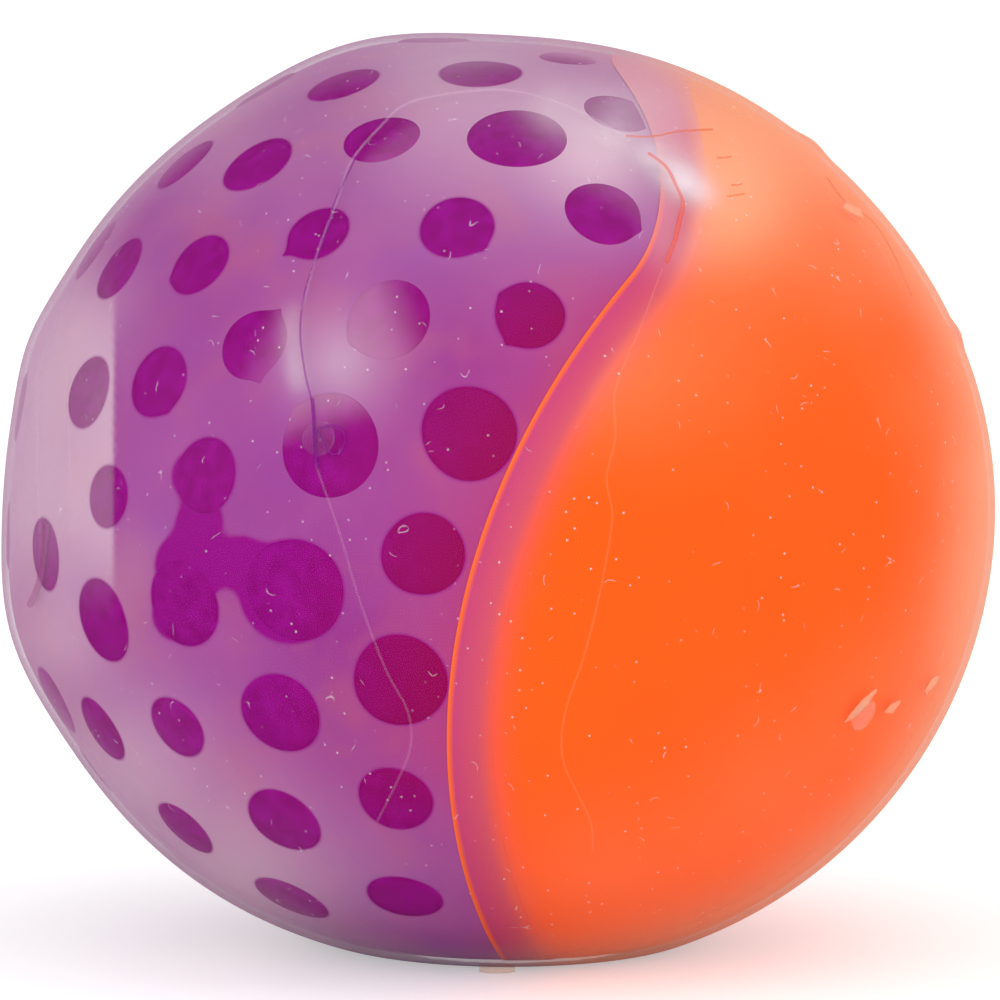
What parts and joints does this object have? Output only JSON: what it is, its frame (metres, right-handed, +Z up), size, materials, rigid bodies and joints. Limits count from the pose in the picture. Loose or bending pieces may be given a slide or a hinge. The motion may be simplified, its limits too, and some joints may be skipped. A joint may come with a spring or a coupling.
{
  "type": "sensory squeeze ball",
  "caption": "Soft clear squeeze ball with a curved divider: purple gel beads in liquid press on the skin on one side, smooth orange gel fills the other, and it stands on a flattened foot.",
  "frame": {"origin": "centre of the flat foot that the ball stands on", "axes": "+Z up through the crown, -Y towards the front view, -X towards the bead side"},
  "size_m": [0.07, 0.07, 0.0641],
  "materials": {
    "clear_skin": "satin, tacky",
    "divider": "satin",
    "orange_gel": "smooth, wet",
    "bead_liquid": "cloudy, wet",
    "gel_bead": "smooth, wet",
    "fill_seal": "satin"
  },
  "bodies": {
    "ball": {"skin": "clear_skin", "divider": "divider", "orange_gel": "orange_gel", "bead_liquid": "bead_liquid", "bead_seal": "fill_seal", "gel_seal": "fill_seal"},
    "bead_row_1": {"bead_01": "gel_bead", "bead_02": "gel_bead", "bead_03": "gel_bead", "bead_04": "gel_bead", "bead_05": "gel_bead"},
    "bead_row_2": {"bead_06": "gel_bead", "bead_07": "gel_bead", "bead_08": "gel_bead", "bead_09": "gel_bead", "bead_10": "gel_bead", "far_beads_2": "gel_bead"},
    "bead_row_3": {"bead_11": "gel_bead", "bead_12": "gel_bead", "bead_13": "gel_bead", "bead_14": "gel_bead", "bead_15": "gel_bead", "bead_16": "gel_bead", "far_beads_3": "gel_bead"},
    "bead_row_4": {"bead_17": "gel_bead", "bead_18": "gel_bead", "bead_19": "gel_bead", "bead_20": "gel_bead", "bead_21": "gel_bead", "far_beads_4": "gel_bead"},
    "bead_row_5": {"bead_22": "gel_bead", "bead_23": "gel_bead", "bead_24": "gel_bead", "bead_25": "gel_bead", "far_beads_5": "gel_bead"},
    "bead_row_6": {"bead_26": "gel_bead", "bead_27": "gel_bead", "bead_28": "gel_bead", "bead_29": "gel_bead", "bead_30": "gel_bead", "far_beads_6": "gel_bead"},
    "bead_row_7": {"bead_31": "gel_bead", "bead_32": "gel_bead", "bead_33": "gel_bead", "bead_34": "gel_bead", "bead_35": "gel_bead", "far_beads_7": "gel_bead"},
    "bead_row_8": {"bead_36": "gel_bead", "bead_37": "gel_bead", "bead_38": "gel_bead", "far_beads_8": "gel_bead"},
    "bead_row_9": {"bead_39": "gel_bead", "bead_40": "gel_bead", "far_beads_9": "gel_bead"}
  },
  "joints": [
    {"name": "squeeze", "type": "slide", "parent": "ball", "child": "bead_row_1", "axis": [0, 0, -1], "range_m": [0, 0.0044], "stiffness_N_per_m": 600, "springref_m": -0.001, "deforming": ["skin", "divider", "orange_gel", "bead_liquid"]},
    {"name": "row_2_sink", "type": "slide", "parent": "ball", "child": "bead_row_2", "axis": [0, 0, -1], "range_m": [0, 0.00423]},
    {"name": "row_3_sink", "type": "slide", "parent": "ball", "child": "bead_row_3", "axis": [0, 0, -1], "range_m": [0, 0.00377]},
    {"name": "row_4_sink", "type": "slide", "parent": "ball", "child": "bead_row_4", "axis": [0, 0, -1], "range_m": [0, 0.00334]},
    {"name": "row_5_sink", "type": "slide", "parent": "ball", "child": "bead_row_5", "axis": [0, 0, -1], "range_m": [0, 0.00286]},
    {"name": "row_6_sink", "type": "slide", "parent": "ball", "child": "bead_row_6", "axis": [0, 0, -1], "range_m": [0, 0.00224]},
    {"name": "row_7_sink", "type": "slide", "parent": "ball", "child": "bead_row_7", "axis": [0, 0, -1], "range_m": [0, 0.00162]},
    {"name": "row_8_sink", "type": "slide", "parent": "ball", "child": "bead_row_8", "axis": [0, 0, -1], "range_m": [0, 0.00113]},
    {"name": "row_9_sink", "type": "slide", "parent": "ball", "child": "bead_row_9", "axis": [0, 0, -1], "range_m": [0, 0.00071]}
  ],
  "couplings": [
    {"joint": "row_2_sink", "follows": "squeeze", "ratio": 0.949},
    {"joint": "row_3_sink", "follows": "squeeze", "ratio": 0.846},
    {"joint": "row_4_sink", "follows": "squeeze", "ratio": 0.747},
    {"joint": "row_5_sink", "follows": "squeeze", "ratio": 0.638},
    {"joint": "row_6_sink", "follows": "squeeze", "ratio": 0.498},
    {"joint": "row_7_sink", "follows": "squeeze", "ratio": 0.356},
    {"joint": "row_8_sink", "follows": "squeeze", "ratio": 0.246},
    {"joint": "row_9_sink", "follows": "squeeze", "ratio": 0.149}
  ]
}
